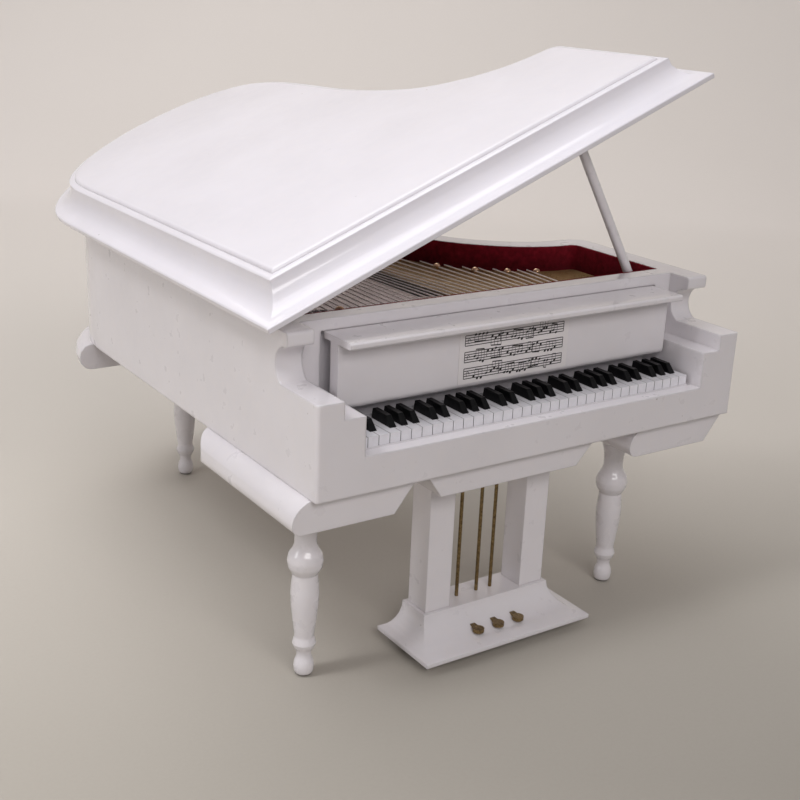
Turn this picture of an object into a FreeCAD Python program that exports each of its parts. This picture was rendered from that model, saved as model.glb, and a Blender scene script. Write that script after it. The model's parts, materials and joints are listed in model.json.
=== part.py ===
import FreeCAD, Part
import math
import os

# Miniature grand piano for a dolls house, about 158 mm wide, 210 mm deep and
# 173 mm high with its lid propped open.  All sizes are millimetres.
# Case frame: X from the bass (left) side to the treble side, Y from the
# keyboard (front) to the tail, Z up from the floor.  Placements then carry the
# pieces so that the origin is the middle of the overall footprint on the floor.

Vector = FreeCAD.Vector
doc = FreeCAD.newDocument("grand_piano")
sheet = doc.addObject("Spreadsheet::Sheet", "dims")

DIMS = {
    # from the case frame to the origin
    "shift_x": -72.80, "shift_y": -104.13,
    # case
    "case_width": 152.0, "wall": 8.0, "case_bottom": 61.0, "case_top": 102.3,
    "case_corner": 6.0, "arm_top": 87.6, "arm_length": 19.3, "nub_front": 16.0,
    "nub_bottom": 98.3, "arm_fillet": 1.1, "key_block_width": 6.5, "key_block_top": 82.7,
    "rail_front": 24.0, "rail_back": 30.0, "rebate_top": 98.97, "rebate_depth": 2.2,
    "floor_thick": 4.0,
    # keyboard
    "slip_top": 71.5, "slip_thick": 4.6, "white_top": 74.4, "white_front": 5.2,
    "white_rear": 20.8, "first_key_x": 15.0, "key_pitch": 3.47, "key_gap": 0.20,
    "black_rear": 17.8, "black_length": 9.4, "black_width": 2.1, "black_height": 2.8,
    "black_side_taper": 0.25, "black_rear_taper": 0.15, "black_front_taper": 2.5,
    # fallboard
    "fall_left": 15.6, "fall_right": 136.4, "fall_front": 16.6, "fall_thick": 4.0,
    "fall_bottom": 78.2, "lip_top": 98.9, "lip_bottom": 97.0, "lip_front": 10.4,
    "lip_back": 24.12, "fall_pin_radius": 0.70, "fall_hole_radius": 0.75,
    "fall_pin_length": 6.6, "fall_pin_depth": 3.8, "sheet_thick": 0.15,
    # inside of the case
    "sound_bottom": 90.5, "sound_top": 93.0, "plate_top": 93.8, "velvet_thick": 1.0,
    "velvet_top": 102.15, "velvet_hole_radius": 0.9,
    # strings and tacks
    "string_radius": 0.22, "string_rise": 0.92, "string_first_x": 28.0,
    "string_pitch": 2.95, "string_front": 38.6, "string_end_gap": 1.6,
    "tack_wall_gap": 2.6, "tack_radius": 0.35, "tack_sink": 1.4, "tack_clear_radius": 1.25,
    # lid
    "lid_axis_x": -0.8, "lid_axis_z": 103.6, "lid_angle": 22.2, "lid_rise": 1.46,
    "lid_thick": 10.2, "lid_left": 4.0, "lid_right": 147.4, "lid_front": 23.6,
    "lid_corner": 4.0, "flange_out": 8.9, "flange_thick": 1.3, "bead_top": 9.2,
    "field_inset": 1.9,
    # lid hinges
    "knuckle_radius": 1.15, "hinge_pin_radius": 0.55, "hinge_hole_radius": 0.60,
    "leaf_thick": 0.6, "leaf_length": 16.0, "leaf_width": 7.0, "web_width": 0.9,
    "case_knuckle": 5.2, "lid_knuckle_start": 5.7, "hinge_front": 38.0, "hinge_rear": 128.0,
    "screw_x": 4.9, "screw_inset": 3.2, "screw_radius": 0.55, "screw_length": 4.6,
    "case_screw_sink": 4.0, "head_radius": 1.05, "head_height": 0.35,
    # prop stick
    "prop_x": 136.1, "prop_y": 33.0, "prop_z": 98.0, "prop_radius": 1.5,
    "prop_angle": 58.84, "prop_end_angle": 0.3, "lid_closed_angle": 1.0,
    "prop_pin_radius": 0.55, "prop_hole_radius": 0.60, "channel_half": 1.85,
    # legs and blocks
    "block_bottom": 51.8, "block_front": 2.5, "block_rear": 65.6, "block_corner": 11.0,
    "left_leg_x": 7.7, "left_leg_y": 18.3, "right_leg_x": 123.3, "right_leg_y": 20.0,
    "rear_leg_x": 40.0, "rear_leg_y": 169.6, "dowel_top": 56.5, "dowel_bottom": 45.5,
    "dowel_radius": 1.4,
    # pedal lyre
    "lyre_block_bottom": 53.6, "lyre_block_rear": 24.5, "lyre_x": 67.0,
    "base_width": 61.0, "base_front": -2.0, "base_rear": 24.3, "base_bottom": 3.0,
    "plinth_thick": 1.2, "base_top": 12.0, "post_width": 8.7, "post_depth": 9.0,
    "post_gap": 26.6, "post_front": 12.0, "rod_y": 16.5, "rod_radius": 0.55,
    "pedal_bottom": 5.6, "pedal_thick": 1.1,
}


class dim:
    """The values of the sheet as attributes, for shapes made by Part calls."""


for row, (alias, value) in enumerate(DIMS.items(), 1):
    sheet.set("A%d" % row, alias)
    sheet.set("B%d" % row, str(value))
    sheet.setAlias("B%d" % row, alias)
    setattr(dim, alias, value)
doc.recompute()

# Expressions shared by several pieces
KEYS_LEFT = "$wall+$key_block_width"
KEYS_RIGHT = "$case_width-$wall-$key_block_width"
FLOOR_TOP = "$case_bottom+$floor_thick"
FALL_PIVOT = ("$fall_front+$fall_thick/2", "$fall_bottom+$fall_thick/2")  # Y and Z
LEGS = {  # X and Y of each leg's axis
    "front_left_leg": ("$left_leg_x", "$left_leg_y"),
    "front_right_leg": ("$right_leg_x", "$right_leg_y"),
    "rear_leg": ("$rear_leg_x", "$rear_leg_y"),
}
# Share of a radius from the tangent lines' corner to the middle of a quarter round
ROUND_MIDDLE = 0.293

# Outer outline of the case (X, Y): from the treble corner round the bent side
# and the tail to the straight bass side
CASE_CURVE = [
    (146.0, 78.0), (141.0, 78.1), (134.8, 79.2), (128.2, 81.5), (121.6, 85.5),
    (115.4, 90.9), (110.0, 97.4), (105.9, 106.3), (102.3, 119.0), (100.0, 132.0),
    (98.8, 147.5), (97.8, 163.5), (96.0, 176.0), (92.6, 186.0), (87.0, 193.4),
    (79.6, 198.2), (70.5, 201.0), (60.5, 202.0), (50.5, 201.8), (40.0, 200.0),
    (29.0, 196.2), (19.2, 190.4), (11.0, 182.6), (4.9, 173.4), (1.3, 163.5),
    (0.1, 155.0), (0.0, 150.0), (0.0, 146.0),
]
# Outline of the lid's top edge in the lid's own frame (X from the hinge axis, Y)
LID_CURVE = [
    (141.6, 75.4), (135.0, 76.6), (127.8, 79.0), (120.4, 83.3), (113.9, 88.9),
    (108.3, 96.0), (103.9, 105.4), (100.0, 118.2), (97.6, 131.6), (96.4, 147.3),
    (95.3, 163.0), (93.6, 174.6), (90.6, 183.6), (85.8, 190.4), (79.4, 195.2),
    (71.8, 198.8), (62.5, 200.8), (52.0, 201.3), (41.2, 200.4), (30.4, 197.4),
    (20.2, 192.4), (11.8, 185.4), (6.6, 177.2), (4.4, 168.0), (4.0, 159.0),
    (4.0, 154.0), (4.0, 150.0),
]

# ---------------------------------------------------------------- document helpers
nodes = []


def bind(obj, prop, expression):
    """Bind a property; $name stands for the sheet's alias."""
    obj.setExpression(prop, expression.replace("$", "dims."))


def place(obj, x, y, z):
    """Bind the base of a placement to a point of the case frame."""
    bind(obj, ".Placement.Base.x", "$shift_x+(%s)" % x)
    bind(obj, ".Placement.Base.y", "$shift_y+(%s)" % y)
    bind(obj, ".Placement.Base.z", "%s" % z)


def keep(label, obj):
    """Make the object a piece to be exported."""
    obj.Label = label
    nodes.append(obj)


def box(name, x0, x1, y0, y1, z0, z1):
    obj = doc.addObject("Part::Box", "box_" + name)
    bind(obj, "Length", "(%s)-(%s)" % (x1, x0))
    bind(obj, "Width", "(%s)-(%s)" % (y1, y0))
    bind(obj, "Height", "(%s)-(%s)" % (z1, z0))
    place(obj, x0, y0, z0)
    return obj


def cylinder(name, radius, length, x, y, z, axis="z"):
    """A cylinder that starts at x, y, z and runs along +x, +y or +z."""
    obj = doc.addObject("Part::Cylinder", "cylinder_" + name)
    turns = {"x": (Vector(0, 1, 0), 90), "y": (Vector(1, 0, 0), -90)}
    if axis in turns:
        obj.Placement = FreeCAD.Placement(Vector(), FreeCAD.Rotation(*turns[axis]))
    bind(obj, "Radius", radius)
    bind(obj, "Height", length)
    place(obj, x, y, z)
    return obj


def fuse(name, parts):
    obj = doc.addObject("Part::MultiFuse", "fuse_" + name)
    obj.Shapes = parts
    return obj


def cut(name, base, tools):
    obj = doc.addObject("Part::Cut", "cut_" + name)
    obj.Base = base
    obj.Tool = fuse("tools_" + name, tools) if len(tools) > 1 else tools[0]
    return obj


def group(name, parts):
    obj = doc.addObject("Part::Compound", "group_" + name)
    obj.Links = parts
    return obj


def keep_shape(label, shape):
    """Keep a free-form shape made in the case frame."""
    obj = doc.addObject("Part::Feature", "shape_" + label)
    obj.Shape = shape
    place(obj, 0, 0, 0)
    keep(label, obj)


def keep_lid_shape(label, shape):
    """Keep a shape made in the lid's frame: X from the hinge axis, Z square to the lid."""
    obj = doc.addObject("Part::Feature", "shape_" + label)
    obj.Shape = shape
    tilt = FreeCAD.Rotation(Vector(0, 1, 0), -dim.lid_angle)
    obj.Placement = FreeCAD.Placement(Vector(), tilt)
    place(obj, "$lid_axis_x", 0, "$lid_axis_z")
    keep(label, obj)


def sketch_body(name, points, plane, arcs):
    """A body with one closed sketch; arcs maps a side's index to its middle point."""
    body = doc.addObject("PartDesign::Body", "body_" + name)
    sketch = body.newObject("Sketcher::SketchObject", "sketch_" + name)
    for feature in body.Origin.OriginFeatures:
        if feature.Role == plane:
            sketch.AttachmentSupport = [(feature, "")]
    sketch.MapMode = "FlatFace"
    corners = [Vector(x, y, 0) for x, y in points]
    for i, start in enumerate(corners):
        end = corners[(i + 1) % len(corners)]
        if i in arcs:
            side = Part.Arc(start, Vector(arcs[i][0], arcs[i][1], 0), end)
        else:
            side = Part.LineSegment(start, end)
        sketch.addGeometry(side, False)
    return body, sketch


def padded(name, points, plane, length, base, arcs={}, reverse=False):
    body, sketch = sketch_body(name, points, plane, arcs)
    pad = body.newObject("PartDesign::Pad", "pad_" + name)
    pad.Profile = sketch
    pad.Reversed = reverse
    bind(pad, "Length", length)
    place(body, *base)
    return body


def turned(name, points, base):
    """A body turned about its own vertical axis."""
    body, sketch = sketch_body(name, points, "XZ_Plane", {})
    revolution = body.newObject("PartDesign::Revolution", "revolution_" + name)
    revolution.Profile = sketch
    revolution.ReferenceAxis = (sketch, ["V_Axis"])
    revolution.Angle = 360.0
    place(body, *base)
    return body


# ---------------------------------------------------------------- shape helpers
def line(start, end):
    return Part.LineSegment(start, end).toShape()


def arc(start, middle, end):
    return Part.Arc(start, middle, end).toShape()


def slab(x0, x1, y0, y1, z0, z1):
    return Part.makeBox(x1 - x0, y1 - y0, z1 - z0, Vector(x0, y0, z0))


def y_cylinder(radius, length, x, y, z):
    return Part.makeCylinder(radius, length, Vector(x, y, z), Vector(0, 1, 0))


def prism(wire, height):
    return Part.Face(wire).extrude(Vector(0, 0, height))


def neighbours(items):
    return zip(items[:-1], items[1:])


def lofts(section, stations):
    """Ruled lofts between successive stations; section makes a station's wire."""
    return [Part.makeLoft([section(*lower), section(*upper)], True, True)
            for lower, upper in neighbours(stations)]


def fused(solids):
    result = solids[0]
    for solid in solids[1:]:
        result = result.fuse(solid)
    return result


def bored(shape, cutters):
    for cutter in cutters:
        shape = shape.cut(cutter)
    return shape


def curve_offset(points, grow, samples=36):
    """Points along the curve through the given ones, moved outwards by grow."""
    curve = Part.BSplineCurve()
    curve.interpolate([Vector(x, y, 0) for x, y in points])
    first, last = curve.FirstParameter, curve.LastParameter
    moved = []
    for i in range(samples + 1):
        parameter = first + (last - first) * i / samples
        point = curve.value(parameter)
        tangent = curve.tangent(parameter)[0]
        moved.append(Vector(point.x + tangent.y * grow, point.y - tangent.x * grow, 0))
    return moved


def outline(points, left, right, front, grow, z, corner):
    """Closed wire: front edge, treble side, round corner, bent side and tail, bass side."""
    moved = curve_offset(points, grow)
    side_x = right + grow
    bend_x = side_x - corner
    kept = [p for p in moved if p.x < bend_x - 1.5]
    dropped = [p for p in moved[:20] if p.x >= bend_x - 1.5]
    # height in Y at which the corner meets the curve, carried on from its kept part
    bend_y = kept[0].y
    if dropped:
        near = dropped[-1]
        slope = (near.y - kept[0].y) * (bend_x - kept[0].x) / max(near.x - kept[0].x, 0.5)
        bend_y += slope
    bend_y = min(bend_y, kept[0].y)
    front_left = Vector(left - grow, front - grow, z)
    front_right = Vector(side_x, front - grow, z)
    corner_start = Vector(side_x, bend_y - corner, z)
    inset = corner * ROUND_MIDDLE
    corner_middle = Vector(side_x - inset, bend_y - inset, z)
    corner_end = Vector(bend_x, bend_y, z)
    through = [corner_end] + [Vector(p.x, p.y, z) for p in kept]
    through[-1] = Vector(left - grow, kept[-1].y, z)
    curve = Part.BSplineCurve()
    curve.interpolate(through)
    return Part.Wire([line(front_left, front_right), line(front_right, corner_start),
                      arc(corner_start, corner_middle, corner_end), curve.toShape(),
                      line(through[-1], front_left)])


def case_outline(front, grow, z, corner):
    return outline(CASE_CURVE, 0.0, dim.case_width, front, grow, z, corner)


def lid_outline(grow, z):
    return outline(LID_CURVE, dim.lid_left, dim.lid_right, dim.lid_front, grow,
                   dim.lid_rise + z, dim.lid_corner)


def case_solid(front, inset, bottom, top):
    """The plan of the case moved inwards by inset."""
    corner = dim.case_corner - 0.4 * inset
    return prism(case_outline(front, -inset, bottom, corner), top - bottom)


def open_inside(bottom, top):
    """The room within the wall, run out past the open front."""
    return case_solid(dim.wall - 30.0, dim.wall, bottom, top)


def rear_inside(bottom, top, inset=0.0):
    """The room within the wall behind the front rail."""
    return case_solid(dim.rail_back - dim.wall, dim.wall + inset, bottom, top)


# ---------------------------------------------------------------- case
# Y of the four screws that hold each set of hinge leaves
SCREWS_Y = [y + offset for y in (dim.hinge_front, dim.hinge_rear)
            for offset in (dim.screw_inset, dim.leaf_length - dim.screw_inset)]


def screw_holes(x, z):
    return [Part.makeCylinder(dim.screw_radius, 5.0, Vector(x, y, z)) for y in SCREWS_Y]


def arm_cutter():
    """The space over the arms: level top, hollow rise and overhanging nub."""
    def at(y, z):
        return Vector(-1, y, z)

    front, bottom, top = dim.nub_front, dim.nub_bottom, dim.case_top
    arm_front = at(-1, dim.arm_top)
    arm_rear = at(dim.arm_length, dim.arm_top)
    rise_middle = at(dim.arm_length + 3.1, (dim.arm_top + bottom) / 2 - 0.4)
    rise_top = at(front + 2.4, bottom - 0.2)
    under_nub = at(front + 1.1, bottom - 0.1)
    face_low = at(front, bottom + 1.1)
    face_high = at(front, top - 0.9)
    nub_top = at(front + 0.9, top)
    above = Part.makePolygon([nub_top, at(front + 0.9, top + 1), at(-1, top + 1), arm_front])
    edges = [
        line(arm_front, arm_rear),
        arc(arm_rear, rise_middle, rise_top),
        line(rise_top, under_nub),
        arc(under_nub, at(front + 0.3, bottom + 0.25), face_low),
        line(face_low, face_high),
        arc(face_high, at(front + 0.264, top - 0.264), nub_top),
    ]
    return Part.Face(Part.Wire(edges + above.Edges)).extrude(Vector(dim.case_width + 2, 0, 0))


def at_outer_front(point):
    on_side = abs(point.x) < 0.01 or abs(point.x - dim.case_width) < 0.01
    return abs(point.y) < 0.01 and on_side


def rim_wall():
    rim = case_solid(0.0, 0.0, dim.case_bottom, dim.case_top)
    rim = rim.cut(open_inside(dim.case_bottom - 1, dim.case_top + 1))
    rim = rim.cut(arm_cutter()).removeSplitter()
    # round the upright outer edges at the front of the arms
    soft = []
    for edge in rim.Edges:
        ends = [v.Point for v in edge.Vertexes]
        if (len(ends) == 2 and abs(ends[0].z - ends[1].z) > 20
                and all(at_outer_front(p) for p in ends)):
            soft.append(edge)
    rim = rim.makeFillet(dim.arm_fillet, soft)
    return bored(rim, screw_holes(dim.lid_axis_x + dim.screw_x,
                                  dim.case_top - dim.case_screw_sink))


def bottom_board():
    board = open_inside(dim.case_bottom, dim.case_bottom + dim.floor_thick)
    return board.common(slab(0, dim.case_width, dim.slip_thick, 300, 0, 200))


def front_rail():
    rail = box("rail", "$wall", "$case_width-$wall", "$rail_front", "$rail_back",
               FLOOR_TOP, "$case_top")
    rebate = box("rebate", KEYS_LEFT, KEYS_RIGHT, "$rail_front-1",
                 "$rail_front+$rebate_depth", FLOOR_TOP + "-1", "$rebate_top")
    pin_hole = cylinder("rail_pin_hole", "$prop_pin_radius", "3",
                        "$prop_x", "$rail_back-2", "$prop_z", "y")
    return cut("front_rail", rail, [rebate, pin_hole])


def key_block(label, left, right, hole_x):
    """Block beside the keys, clear of the bottom board, with the fallboard's pin hole."""
    block = box(label, left, right, "0", "$rail_front", "$case_bottom", "$key_block_top")
    floor_cut = box(label + "_floor_cut", left + "-1", right + "+1", "$slip_thick",
                    "$rail_front+1", "$case_bottom-1", FLOOR_TOP)
    pin_hole = cylinder(label + "_hole", "$fall_hole_radius", "5", hole_x, *FALL_PIVOT, "x")
    keep(label, cut(label, block, [floor_cut, pin_hole]))


keep_shape("rim_wall", rim_wall())
keep_shape("bottom_board", bottom_board())
keep("front_rail", front_rail())
key_block("left_key_block", "$wall", KEYS_LEFT, KEYS_LEFT + "-4")
key_block("right_key_block", KEYS_RIGHT, "$case_width-$wall", KEYS_RIGHT + "-1")
keep("key_slip", box("slip", KEYS_LEFT, KEYS_RIGHT, "0", "$slip_thick",
                     "$case_bottom", "$slip_top"))
keep("key_bed", box("bed", KEYS_LEFT, KEYS_RIGHT, "$slip_thick", "$rail_front",
                    FLOOR_TOP, "$slip_top"))

# ---------------------------------------------------------------- keyboard
OCTAVES = 5
# Black keys of an octave: white keys to the left, shift in X from the joint between whites
BLACK_STEPS = [(1, -0.28), (2, 0.28), (4, -0.36), (5, 0.0), (6, 0.36)]


def white_key(i):
    return box("white_%02d" % i, "$first_key_x+%d*$key_pitch+$key_gap/2" % i,
               "$first_key_x+%d*$key_pitch-$key_gap/2" % (i + 1),
               "$white_front", "$white_rear", "$slip_top", "$white_top")


def black_key(joint, shift):
    """Tapered key; the wedge is turned so that its Y points up and its Z to the front."""
    key = doc.addObject("Part::Wedge", "black_%02d" % joint)
    key.Placement = FreeCAD.Placement(Vector(), FreeCAD.Rotation(Vector(1, 0, 0), 90))
    key.Xmin = key.Ymin = key.Zmin = 0
    bind(key, "X2min", "$black_side_taper")
    bind(key, "Z2min", "$black_rear_taper")
    bind(key, "Xmax", "$black_width")
    bind(key, "X2max", "$black_width-$black_side_taper")
    bind(key, "Ymax", "$black_height")
    bind(key, "Zmax", "$black_length")
    bind(key, "Z2max", "$black_length-$black_front_taper")
    place(key, "$first_key_x+%d*$key_pitch-$black_width/2+(%s)" % (joint, shift),
          "$black_rear", "$white_top")
    return key


keep("white_keys", group("whites", [white_key(i) for i in range(7 * OCTAVES)]))
keep("black_keys", group("blacks", [black_key(octave * 7 + step, shift)
                                    for octave in range(OCTAVES)
                                    for step, shift in BLACK_STEPS]))


# ---------------------------------------------------------------- fallboard
def fallboard():
    """Upright panel with a round lower edge, and the lip on top."""
    front, back = dim.fall_front, dim.fall_front + dim.fall_thick
    radius = dim.fall_thick / 2
    round_top = dim.fall_bottom + radius
    profile = [  # Y, Z
        (front, round_top), (back, round_top), (back, dim.lip_bottom),
        (dim.lip_back, dim.lip_bottom), (dim.lip_back, dim.lip_top),
        (dim.lip_front + 0.5, dim.lip_top), (dim.lip_front, dim.lip_top - 0.5),
        (dim.lip_front, dim.lip_bottom + 0.4), (dim.lip_front + 0.4, dim.lip_bottom),
        (front, dim.lip_bottom)]
    body = padded("fallboard", profile, "YZ_Plane", "$fall_right-$fall_left",
                  ("$fall_left", 0, 0), arcs={0: (front + radius, dim.fall_bottom)})
    holes = [cylinder("fall_hole", "$fall_pin_radius", "5", x, *FALL_PIVOT, "x")
             for x in ("$fall_left-1", "$fall_right-4")]
    return cut("fallboard", body, holes)


keep("fallboard", fallboard())
keep("fallboard_pins", group("fall_pins", [
    cylinder("fall_pin", "$fall_pin_radius", "$fall_pin_length", x, *FALL_PIVOT, "x")
    for x in ("$fall_left+$fall_pin_depth-$fall_pin_length", "$fall_right-$fall_pin_depth")]))
keep("music_sheet", box("music", 55.4, 95.6, "$fall_front-$sheet_thick", "$fall_front",
                        79.9, 96.9))

# ---------------------------------------------------------------- inside of the case
# Openings in the plate (X, Y): its front edge behind the rail, and one long bay
PLATE_OPENINGS = [
    [(0, 20), (150, 20), (150, 51.5), (41.5, 52.0), (35.5, 59.5), (0, 62)],
    [(70.6, 60), (80.6, 57), (77.5, 118), (66, 118)],
]
# Tacks set singly (X, Y), then those set by distance along the tack line from its
# treble end
SINGLE_TACKS = [(98.6, 89.0), (107.4, 78.9), (116.4, 72.7), (125.8, 68.6), (38.3, 53.6)]
TACK_DISTANCES = (62.0, 82.0, 102.0, 122.0, 142.0, 162.0, 182.0, 202.0)
# Lean of the strings: X at the front end, step in X for each unit of Y
STRING_COUNT = 33
STRING_FAN = [
    (28.0, 0.09), (34.0, 0.07), (47.0, 0.02), (56.0, 0.0), (69.0, -0.05), (80.0, -0.12),
    (90.0, -0.14), (100.0, -0.08), (110.0, -0.01), (118.0, 0.05), (128.0, 0.06),
]


def lining_outline(gap, z):
    """Outline that stands off the velvet by gap."""
    inset = dim.wall + dim.velvet_thick + gap
    return case_outline(dim.rail_back - dim.wall, -inset, z, 2.0)


def tack_places():
    curve_edge = lining_outline(dim.tack_wall_gap, 0.0).Edges[3]
    places = list(SINGLE_TACKS)
    for distance in TACK_DISTANCES:
        parameter = curve_edge.Curve.parameterAtDistance(distance, curve_edge.FirstParameter)
        point = curve_edge.valueAt(parameter)
        places.append((point.x, point.y))
    return places


TACKS = tack_places()
TACK_FOOT = dim.plate_top - dim.tack_sink


def tack_holes():
    return [Part.makeCylinder(dim.tack_radius, 6, Vector(x, y, TACK_FOOT)) for x, y in TACKS]


def gold_plate():
    plate = rear_inside(dim.sound_top, dim.plate_top)
    openings = []
    for points in PLATE_OPENINGS:
        wire = Part.makePolygon([Vector(x, y, dim.sound_top - 1)
                                 for x, y in points + [points[0]]])
        openings.append(prism(wire, 4))
    return bored(plate, openings + tack_holes())


def velvet_lining():
    """Lining of the inner faces, with a hole for the prop's pin."""
    ring = rear_inside(dim.plate_top, dim.velvet_top)
    ring = ring.cut(rear_inside(dim.plate_top - 1, dim.velvet_top + 1, dim.velvet_thick))
    return ring.cut(y_cylinder(dim.velvet_hole_radius, 6,
                               dim.prop_x, dim.rail_back - 2, dim.prop_z))


def string_lean(x):
    for (x0, lean0), (x1, lean1) in neighbours(STRING_FAN):
        if x0 <= x <= x1:
            return lean0 + (lean1 - lean0) * (x - x0) / (x1 - x0)


def strings():
    """Strings from the front towards the tail, cut clear of the tack heads."""
    z = dim.plate_top + dim.string_rise
    well = Part.Face(lining_outline(dim.string_end_gap, z))
    clearances = [Part.makeCylinder(dim.tack_clear_radius, 4, Vector(x, y, dim.sound_top))
                  for x, y in TACKS]
    pieces = []
    for i in range(STRING_COUNT):
        x = dim.string_first_x + dim.string_pitch * i
        start = Vector(x, dim.string_front, z)
        direction = Vector(string_lean(x), 1.0, 0)
        reach = Part.makeLine(start, start + direction * 200.0).common(well)
        far_y = max(v.Point.y for v in reach.Vertexes)
        run = direction * (far_y - start.y)
        string = Part.makeCylinder(dim.string_radius, run.Length, start, run)
        for clearance in clearances:
            if string.distToShape(clearance)[0] < 0.01:
                string = string.cut(clearance)
        pieces.extend(string.Solids)
    return Part.makeCompound(pieces)


def tack(x, y):
    """Domed head over a short shank that stands in the plate."""
    top = dim.plate_top
    shank = Part.makeCylinder(dim.tack_radius, 2.9, Vector(x, y, TACK_FOOT))
    dome = Part.makeSphere(1.569, Vector(x, y, top + 0.631)).common(
        slab(x - 2, x + 2, y - 2, y + 2, top + 1.2, top + 4))
    return shank.fuse(dome).removeSplitter()


keep_shape("soundboard", bored(rear_inside(dim.sound_bottom, dim.sound_top), tack_holes()))
keep("soundboard_bearers", group("bearers", [
    box("bearer_front", 30, 120, 44, 50, FLOOR_TOP, "$sound_bottom"),
    box("bearer_rear", 24, 84, 150, 156, FLOOR_TOP, "$sound_bottom")]))
keep_shape("gold_plate", gold_plate())
keep("string_bridge", box("bridge", 14, 132, 40, 43.4, "$sound_top", "$plate_top+0.7"))
keep_shape("velvet_lining", velvet_lining())
keep_shape("strings", strings())
keep_shape("plate_tacks", Part.makeCompound([tack(x, y) for x, y in TACKS]))


# ---------------------------------------------------------------- swing of the prop
def prop_tip(shut, length):
    """X and Z, in the lid's frame from its underside, of the centre of the prop's end.

    shut runs from 0 with the lid propped open to 1 with it closed.
    """
    lid = math.radians(dim.lid_angle - (dim.lid_angle + dim.lid_closed_angle) * shut)
    prop = math.radians(dim.prop_angle - (dim.prop_angle - dim.prop_end_angle) * shut)
    x = dim.prop_x - length * math.cos(prop) - dim.lid_axis_x
    z = dim.prop_z + length * math.sin(prop) - dim.lid_axis_z
    return (x * math.cos(lid) + z * math.sin(lid),
            -x * math.sin(lid) + z * math.cos(lid) - dim.lid_rise)


def find_prop_length():
    """Length from pivot to end centre that just stops short of the lid's underside."""
    short, long = 30.0, 80.0
    for _ in range(60):
        middle = (short + long) / 2
        if prop_tip(0.0, middle)[1] < -dim.prop_radius - 0.05:
            short = middle
        else:
            long = middle
    return short


PROP_LENGTH = find_prop_length()


def prop_channel():
    """Channel in the lid for the swing of the prop's end.

    The end rises into the lid before it comes down again; the channel's outer end
    is the ramp that the prop bears on.
    """
    radius, rise = dim.prop_radius, dim.lid_rise
    travel = [prop_tip(i / 100.0, PROP_LENGTH) for i in range(101)]
    start_x, start_z = travel[0]
    next_x, next_z = prop_tip(0.02, PROP_LENGTH)
    step = math.hypot(next_x - start_x, next_z - start_z)
    move_x, move_z = (next_x - start_x) / step, (next_z - start_z) / step
    normal_x, normal_z = -move_z, move_x
    if normal_z < 0:
        normal_x, normal_z = -normal_x, -normal_z
    # a point of the ramp, which runs along the first movement of the end
    ramp_x = start_x + normal_x * (radius + 0.10)
    ramp_z = start_z + normal_z * (radius + 0.10)
    depth = max(z for x, z in travel) + radius + 0.35
    ramp_low = ramp_x - move_x / move_z * (ramp_z + 0.5)
    ramp_high = ramp_x + move_x / move_z * (depth - ramp_z)
    left = min(x - radius for x, z in travel if z + radius > -0.2) - 0.6
    corners = [(ramp_low, rise - 0.5), (ramp_high, rise + depth),
               (left, rise + depth), (left, rise - 0.5), (ramp_low, rise - 0.5)]
    wire = Part.makePolygon([Vector(x, dim.prop_y - dim.channel_half, z) for x, z in corners])
    return Part.Face(wire).extrude(Vector(0, 2 * dim.channel_half, 0))


# ---------------------------------------------------------------- lid
LID_SCREW_HOLES = screw_holes(dim.screw_x, dim.lid_rise - 1.0)
# Shoulder of the raised field: inset from the field's edge, height
SHOULDER = [(0.0, dim.bead_top), (0.15, 9.6), (0.5, 9.92), (1.0, 10.12), (1.6, dim.lid_thick)]


def lid_moulding():
    """Moulded edge round the panel: flange, hollow and bead."""
    edge = [(dim.flange_out, 0.0), (dim.flange_out, dim.flange_thick)]  # offset, height
    for degrees in range(90, -1, -18):
        angle = math.radians(degrees)
        edge.append((8.5 - 8.2 * math.cos(angle), 8.9 - 7.3 * math.sin(angle)))
    edge += [(0.0, 9.05), (-0.45, dim.bead_top)]
    wires = [lid_outline(grow, z) for grow, z in edge]
    layers = [prism(wires[0], dim.flange_thick)]
    for lower, upper in neighbours(wires[1:]):
        layers.append(Part.makeLoft([lower, upper], True, True))
    core = prism(lid_outline(-dim.field_inset, -1), 14)
    return bored(fused(layers), [core] + LID_SCREW_HOLES)


def lid_panel():
    """Panel within the moulding, whose field stands up inside the bead."""
    def step_outline(inset, z):
        return lid_outline(-dim.field_inset - inset, z)

    base = prism(step_outline(0.0, 0.0), dim.bead_top)
    panel = fused([base] + lofts(step_outline, SHOULDER)).removeSplitter()
    return bored(panel, [prop_channel()] + LID_SCREW_HOLES)


keep_lid_shape("lid_moulding", lid_moulding())
keep_lid_shape("lid_panel", lid_panel())


# ---------------------------------------------------------------- lid hinges
def leaf_screw_holes(y, x, z):
    """Screw holes through the leaf of the hinge that starts at y."""
    return [Part.makeCylinder(dim.screw_radius, 2, Vector(x, y + offset, z - 1))
            for offset in (dim.screw_inset, dim.leaf_length - dim.screw_inset)]


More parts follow.
